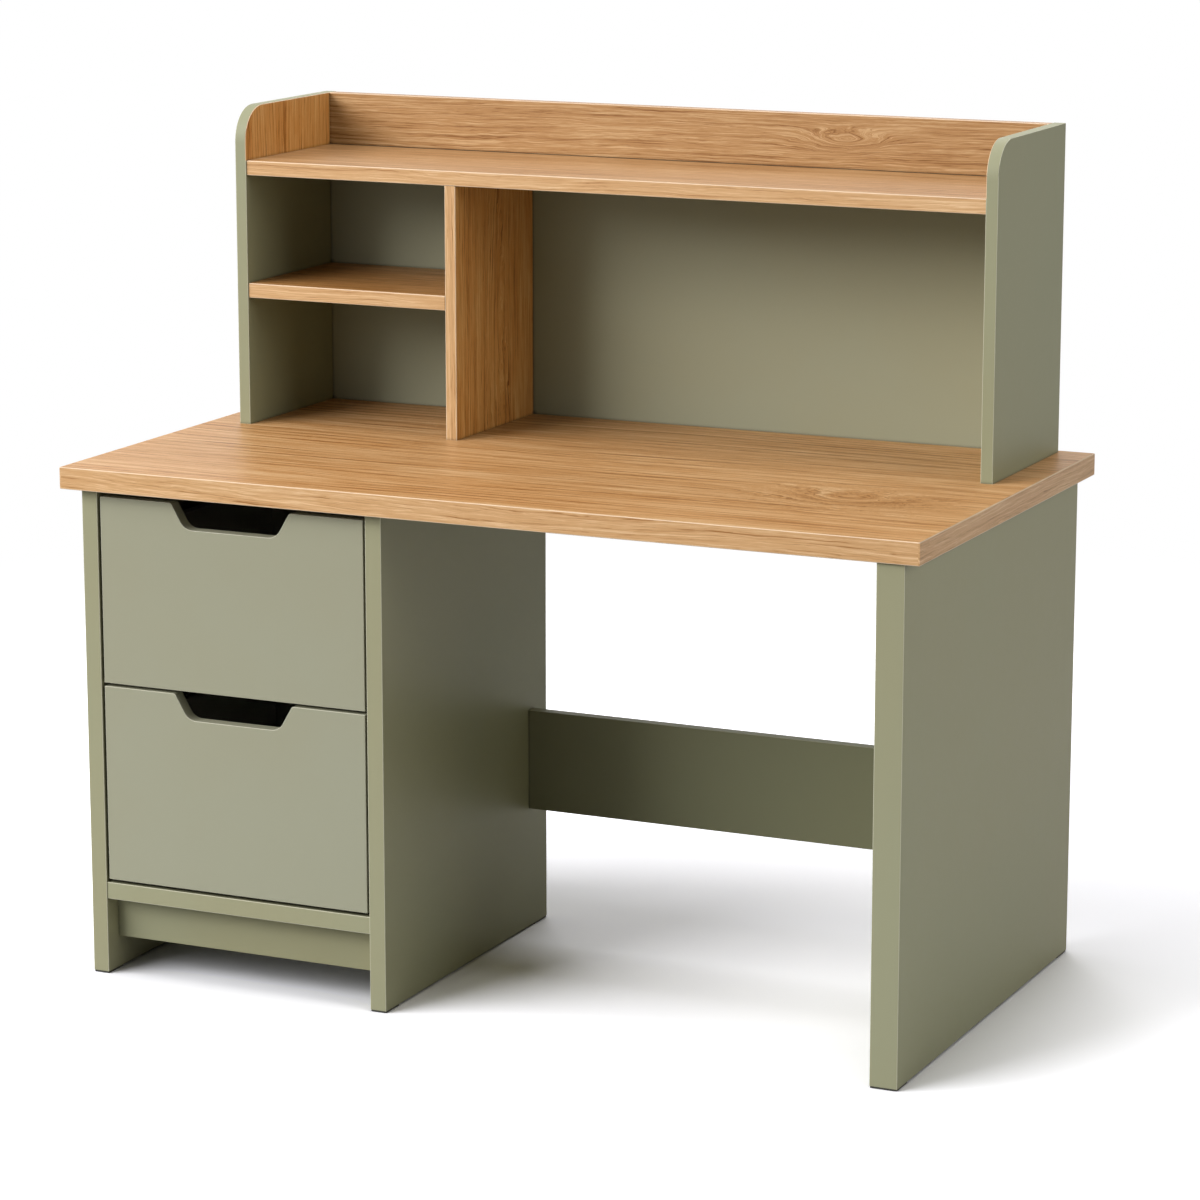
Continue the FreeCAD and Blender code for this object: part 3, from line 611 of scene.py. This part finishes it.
def sage(name, face, shift=(0.0, 0.0, 0.0), tones=SAGE, shaded_joints=True):
    """Sage lacquer on a board whose broad face looks along the given axis. A board that slides is fixed to
    no other board, and gets no painted joint shade."""
    material, tree, shader = new_material(name, Specular_IOR_Level=SAGE_GLOSS, IOR=LACQUER_IOR)
    moved = add(tree, "Mapping", {"Vector": add(tree, "TexCoord").outputs["Object"], "Location": shift})
    # Painted highlight: the rounded arris turns towards the paint's palest colour.
    highlight_mask = place(tree, arris, {"Face": face})["Mask"]
    coat = place(tree, lacquer, {"Vector": moved.outputs[0], "Arris": highlight_mask, **tones})
    # Painted shade darkens the joints of a board that stays in place.
    colour = with_joint_shade(tree, coat["Color"]) if shaded_joints else coat["Color"]
    join_finish(tree, shader, colour, coat["Roughness"], coat["Height"], **SAGE_BUMP)
    return material


# The drawer fronts' paint is a copy tinted to stand in for the light they get.
light_tinted_front_sage = sage("drawer_front_light_tinted_sage", Y_FACE, (0.6, 0.0, 0.0), LIGHT_TINTED_FRONT_SAGE, shaded_joints=False)
wear(sage("upright_sage", X_FACE), "right_leg_panel", "left_side_panel", "pedestal_inner_panel")
wear(sage("hutch_side_sage", X_FACE, (1.3, 0.0, 0.0)), "hutch_left_side", "hutch_right_side")
wear(sage("bottom_sage", Z_FACE, (2.1, 0.0, 0.0)), "pedestal_bottom")
# The plinth and the stretcher sit in shade, and their darker copies of the paint are painted shade.
wear(sage("shaded_rail_sage", Y_FACE, (3.7, 0.0, 0.0), SHADED_RAIL_SAGE), "plinth_rail")
wear(sage("shaded_stretcher_sage", Y_FACE, (3.7, 0.0, 0.0), SHADED_STRETCHER_SAGE), "stretcher_rail")
# The hutch's back paint is a copy tinted to stand in for the light it gets.
wear(sage("hutch_back_light_tinted_sage", Y_FACE, (5.2, 0.0, 0.0), LIGHT_TINTED_BACK_SAGE), "hutch_back_panel")
wear(light_tinted_front_sage, "upper_drawer_front", "lower_drawer_front")

# %% [markdown]
# ## Inside the pedestal
# The drawer boxes are foil-wrapped board, pale grey with a fine linen emboss. Back and floors are thin
# painted fibreboard. A weave can be drawn thread by thread, but two crossed noises give one that never
# repeats.

# %% Foil and fibreboard
LEVELS = ("upper", "lower")
FOIL_BOARDS = ("left_side", "right_side", "back")
FIBREBOARD = {"Warm": shade(156, 153, 129), "Cool": shade(160, 160, 138), "Painted_highlight": shade(180, 178, 158)}
FOIL_DULL, FOIL_PALE = shade(196, 192, 182), shade(214, 211, 203)
FOIL_GLOSS = 0.35
WEFT = {"scales": (900.0, 60.0, 900.0), "detail": 1.0}
WARP = {"scales": (60.0, 900.0, 60.0), "detail": 1.0}
FOIL_CLOUD = {"scales": (6.0, 6.0, 6.0), "detail": 3.0}
WEAVE_TONE, FOIL_CLOUD_TONE = 0.8, 0.6
FOIL_ROUGH, WEAVE_ROUGH = 0.42, 0.3
FOIL_BUMP = {"strength": 0.2, "depth": 0.0002}


def foil(name):
    """Pale foil on board. The emboss is the product of two stretched noises, one across the other."""
    material, tree, shader = new_material(name, Specular_IOR_Level=FOIL_GLOSS)
    spot = add(tree, "TexCoord").outputs["Object"]
    weave = maths(tree, "MULTIPLY", noise(tree, spot, **WEFT), noise(tree, spot, **WARP))
    cloud = maths(tree, "MULTIPLY", noise(tree, spot, **FOIL_CLOUD), FOIL_CLOUD_TONE)
    tone = maths(tree, "MULTIPLY_ADD", weave, WEAVE_TONE, cloud, clamp=True)
    rough = maths(tree, "MULTIPLY_ADD", weave, WEAVE_ROUGH, FOIL_ROUGH)
    join_finish(tree, shader, mixed(tree, tone, FOIL_DULL, FOIL_PALE), rough, weave, **FOIL_BUMP)
    return material


drawer_foil = foil("drawer_foil")
backing_sage = sage("backing_sage", Y_FACE, (4.4, 0.0, 0.0), FIBREBOARD, shaded_joints=False)
wear(backing_sage, "pedestal_back")
for level in LEVELS:
    wear(drawer_foil, *(f"{level}_drawer_{board}" for board in FOIL_BOARDS))
    wear(backing_sage, f"{level}_drawer_floor")

# %% [markdown]
# ## Slides and fittings
# The slides are zinc-plated strip, drawn through rollers, so faint lines run along them. Cams are cast,
# screws plated. All are one finish with other marks: noise that is long along the slides and even on the
# rest.

# %% Plated and cast metal
SIDES = ("left", "right")
MEMBERS = ("cabinet", "middle", "drawer")
MARKS = {"detail": 3.0, "roughness": 0.6}
BLOOM = {"scales": (35.0, 35.0, 35.0)}
MARK_TONE, BLOOM_TONE = 0.6, 0.4
METAL_ROUGH, MARK_ROUGH, BLOOM_ROUGH = 0.2, 0.16, 0.14
METAL_BUMP = {"strength": 0.15, "depth": 0.0001}


def plated(name, bright, dull, lines):
    """Plated metal. Its marks are noise with one scale for each axis, and its bloom is a wider one."""
    material, tree, shader = new_material(name, Metallic=1.0)
    spot = add(tree, "TexCoord").outputs["Object"]
    marks = noise(tree, spot, lines, **MARKS)
    bloom = noise(tree, spot, **BLOOM)
    tone = maths(tree, "MULTIPLY_ADD", marks, MARK_TONE, maths(tree, "MULTIPLY", bloom, BLOOM_TONE))
    rough = maths(tree, "MULTIPLY_ADD", marks, MARK_ROUGH, METAL_ROUGH)
    rough = maths(tree, "MULTIPLY_ADD", bloom, BLOOM_ROUGH, rough)
    join_finish(tree, shader, mixed(tree, tone, dull, bright), rough, marks, **METAL_BUMP)
    return material


slide_zinc = plated("slide_zinc", shade(206, 208, 212), shade(168, 170, 174), (500.0, 9.0, 500.0))
cage_zinc = plated("cage_zinc", shade(196, 196, 198), shade(150, 150, 152), (220.0, 40.0, 220.0))
screw_zinc = plated("screw_zinc", shade(204, 198, 182), shade(160, 152, 132), (400.0, 400.0, 400.0))
cam_cast = plated("cam_cast", shade(178, 178, 182), shade(140, 140, 144), (700.0, 700.0, 700.0))
wear(screw_zinc, "slide_wall_screws", "hutch_screws", "shelf_pins", "cam_bolts")
wear(cam_cast, "cam_locks")
for level in LEVELS:
    wear(cam_cast, f"{level}_drawer_cam_fittings")
    wear(screw_zinc, f"{level}_drawer_screws")
    wear(cage_zinc, f"{level}_slide_outer_cages", f"{level}_slide_inner_cages")
    for side in SIDES:
        wear(slide_zinc, *(f"{level}_{side}_slide_{member}_member" for member in MEMBERS))

# %% [markdown]
# ## Dowels and glides
# Two small things are left. Dowels are pale beech, and show only where a board is taken off. The glides are
# dark moulded plastic, whose grain comes from the spark-eroded mould.

# %% Beech and plastic
BEECH_DARK, BEECH_PALE = shade(196, 152, 108), shade(222, 184, 140)
BEECH_STREAK = {"scales": (160.0, 160.0, 160.0), "detail": 3.0}
BEECH_TONE = (0.35, 0.65)
BEECH_GLOSS, BEECH_ROUGH, STREAK_ROUGH = 0.3, 0.5, 0.2
GLIDE_DARK, GLIDE_PALE = shade(38, 38, 33), shade(58, 57, 50)
MOULD_GRAIN = {"scales": (1400.0, 1400.0, 1400.0)}
GLIDE_GLOSS, GLIDE_ROUGH, GRAIN_ROUGH = 0.45, 0.45, 0.25
GLIDE_BUMP = {"strength": 0.3, "depth": 0.0002}
PLAIN_NODES = 2


def beech(name):
    """Pale beech, whose streaks are a fine noise between two tones."""
    material, tree, shader = new_material(name, Specular_IOR_Level=BEECH_GLOSS)
    streak = noise(tree, add(tree, "TexCoord").outputs["Object"], **BEECH_STREAK)
    colour = mixed(tree, ramp(tree, streak, *BEECH_TONE), BEECH_DARK, BEECH_PALE)
    join_finish(tree, shader, colour, maths(tree, "MULTIPLY_ADD", streak, STREAK_ROUGH, BEECH_ROUGH))
    return material


def moulded(name):
    """Dark moulded plastic, whose grain is one fine noise for colour, roughness and bump."""
    material, tree, shader = new_material(name, Specular_IOR_Level=GLIDE_GLOSS)
    grain = noise(tree, add(tree, "TexCoord").outputs["Object"], **MOULD_GRAIN)
    rough = maths(tree, "MULTIPLY_ADD", grain, GRAIN_ROUGH, GLIDE_ROUGH)
    join_finish(tree, shader, mixed(tree, grain, GLIDE_DARK, GLIDE_PALE), rough, grain, **GLIDE_BUMP)
    return material


wear(beech("dowel_beech"), "wood_dowels")
wear(moulded("glide_black"), "foot_glides")
finish_sizes = {name: len(node.data.materials[0].node_tree.nodes) for name, node in nodes.items()}
plain_names = [name for name, size in finish_sizes.items() if size <= PLAIN_NODES]
print("nodes left with a plain material:", plain_names)

# %% [markdown]
# ## Floor and room
# A studio picture of furniture stands on a seamless white sweep. Here that is one wide plane and a white
# world. The camera sees both as white, and so do glossy surfaces. For other rays the world is dark and the
# floor grey, so the desk is lit by the lamps and not by its backdrop. Near the desk the floor is a plain
# matt surface that takes the desk's shadow, and further out it turns into pure white. A wide Ambient
# Occlusion deepens the shadow where the desk stands on the floor.

# %% Floor
FLOOR_HALF = 30.0
FLOOR_SEEN = 1.65
FLOOR_TINT = (1.0, 1.0, 1.05)
FLOOR_BOUNCE = (0.4, 0.4, 0.4, 1.0)
CONTACT_REACH = 0.3
CONTACT_RAYS = 16
CONTACT_KEEPS = (0.0, 1.0, 0.45, 1.0)
LIT_TO_WHITE = (1.7, 3.2)


def seen_by_eye(tree):
    """One for rays from the camera, off a gloss or through glass, and nought for the rest."""
    rays = add(tree, "LightPath").outputs
    through = maths(tree, "MAXIMUM", rays["Is Glossy Ray"], rays["Is Transmission Ray"])
    return maths(tree, "MAXIMUM", rays["Is Camera Ray"], through)


def floor_finish(name):
    """A matt floor that turns white far from the desk, and is grey for rays that only carry light."""
    material = bpy.data.materials.new(name)
    material.use_nodes = True
    tree = material.node_tree
    tree.nodes.clear()
    spot = add(tree, "TexCoord").outputs["Object"]
    away = add(tree, "VectorMath", {0: spot}, operation="LENGTH").outputs["Value"]
    seen = seen_by_eye(tree)
    contact = add(tree, "AmbientOcclusion", {"Distance": CONTACT_REACH}, samples=CONTACT_RAYS)
    shadowed = maths(tree, "MULTIPLY", ramp(tree, contact.outputs["AO"], *CONTACT_KEEPS), FLOOR_SEEN)
    level = add(tree, "CombineXYZ", {0: shadowed, 1: shadowed, 2: shadowed}).outputs[0]
    pale = mixed(tree, seen, FLOOR_BOUNCE, vectors(tree, "MULTIPLY", level, FLOOR_TINT))
    lit = add(tree, "BsdfDiffuse", {"Color": pale}).outputs[0]
    white = add(tree, "Emission", {"Color": WHITE, "Strength": seen}).outputs[0]
    both = add(tree, "MixShader", {0: ramp(tree, away, *LIT_TO_WHITE), 1: lit, 2: white}).outputs[0]
    add(tree, "OutputMaterial", {"Surface": both})
    return material


corners = np.array([(-1, -1, 0), (1, -1, 0), (1, 1, 0), (-1, 1, 0)], float) * FLOOR_HALF
floor_mesh = bpy.data.meshes.new("floor")
floor_mesh.from_pydata(corners.tolist(), [], [(0, 1, 2, 3)])
floor_mesh.materials.append(floor_finish("floor_white"))
floor = bpy.data.objects.new("floor", floor_mesh)
bpy.context.scene.collection.objects.link(floor)
print("floor", 2 * FLOOR_HALF, "m wide, white from", LIT_TO_WHITE[1], "m out")

# %% World
world = bpy.data.worlds.new("studio")
world.use_nodes = True
world.node_tree.nodes.clear()
backdrop = add(world.node_tree, "Background", {"Color": WHITE, "Strength": seen_by_eye(world.node_tree)})
add(world.node_tree, "OutputWorld", {"Surface": backdrop.outputs[0]})
bpy.context.scene.world = world
print("world", world.name)

# %% [markdown]
# ## Light
# A large soft key stands far off to the front left, so that both ends of the desk get nearly the same
# light. A weak lamp in front reaches into the cubby, a panel hangs overhead, and a slightly warm fill lifts
# the right-hand side. A lamp behind picks out the top edges, and a low fill behind shows the back. That
# fill stays out of reflections, so that it puts no sheen on the top. Each lamp is a rectangle that looks at
# the middle of the desk, given by its bearing and rise in degrees, its distance, width and height in
# metres, its power in watts and its colour.

# %% Lamps
LAMP_TARGET = Vector((0.0, 0.0, 0.6))
NEUTRAL = (1.0, 1.0, 1.0)
WARM = (1.0, 0.985, 0.92)
LAMPS = (
    ("key", -45.0, 28.0, 9.0, 8.0, 4.4, 900.0, NEUTRAL),
    ("front_fill", -15.0, 12.0, 9.0, 4.4, 4.4, 85.0, NEUTRAL),
    ("overhead", 0.0, 88.0, 4.5, 2.2, 2.2, 58.0, NEUTRAL),
    ("right_fill", 80.0, 20.0, 4.5, 2.2, 3.0, 56.0, WARM),
    ("back_lamp", 180.0, 50.0, 4.5, 2.2, 2.2, 50.0, NEUTRAL),
    ("back_fill", -150.0, 8.0, 4.5, 1.6, 2.2, 55.0, NEUTRAL),
)
MATT_LAMP = "back_fill"


def outward(bearing, rise):
    """The direction of a lamp: a bearing from the front towards the right, and a rise from level."""
    turn = math.radians(bearing)
    lift = math.radians(rise)
    return Vector((math.sin(turn) * math.cos(lift), -math.cos(turn) * math.cos(lift), math.sin(lift)))


for name, bearing, rise, distance, width, height, power, tint in LAMPS:
    light = bpy.data.lights.new(name, "AREA")
    light.shape = "RECTANGLE"
    light.size = width
    light.size_y = height
    light.energy = power
    light.color = tint
    lamp = bpy.data.objects.new(name, light)
    direction = outward(bearing, rise)
    lamp.location = LAMP_TARGET + direction * distance
    lamp.rotation_euler = (-direction).to_track_quat("-Z", "Y").to_euler()
    lamp.visible_camera = False
    lamp.visible_glossy = name != MATT_LAMP
    bpy.context.scene.collection.objects.link(lamp)
    print("lamp", name, power, "W at", [round(x, 2) for x in lamp.location])

# %% [markdown]
# ## Camera
# The view was fitted to the desk's own corners: a long lens, a little above the top and to the right of the
# front. Its yaw turns it from straight back towards the left, and its pitch tips it down.

# %% Camera and view
CAMERA_PLACE = Vector((2.4891, -5.3340, 1.8153))
CAMERA_YAW = math.radians(24.762)
CAMERA_PITCH = math.radians(12.180)
CAMERA_LENS = 125.26
SENSOR_WIDTH = 36.0
forward = Vector((
    -math.sin(CAMERA_YAW) * math.cos(CAMERA_PITCH),
    math.cos(CAMERA_YAW) * math.cos(CAMERA_PITCH),
    -math.sin(CAMERA_PITCH),
))
lens = bpy.data.cameras.new("camera")
lens.lens = CAMERA_LENS
lens.sensor_width = SENSOR_WIDTH
camera = bpy.data.objects.new("camera", lens)
camera.location = CAMERA_PLACE
camera.rotation_euler = forward.to_track_quat("-Z", "Y").to_euler()
bpy.context.scene.collection.objects.link(camera)
bpy.context.scene.camera = camera
bpy.context.scene.view_settings.view_transform = "Standard"
print("camera at", [round(x, 3) for x in CAMERA_PLACE])
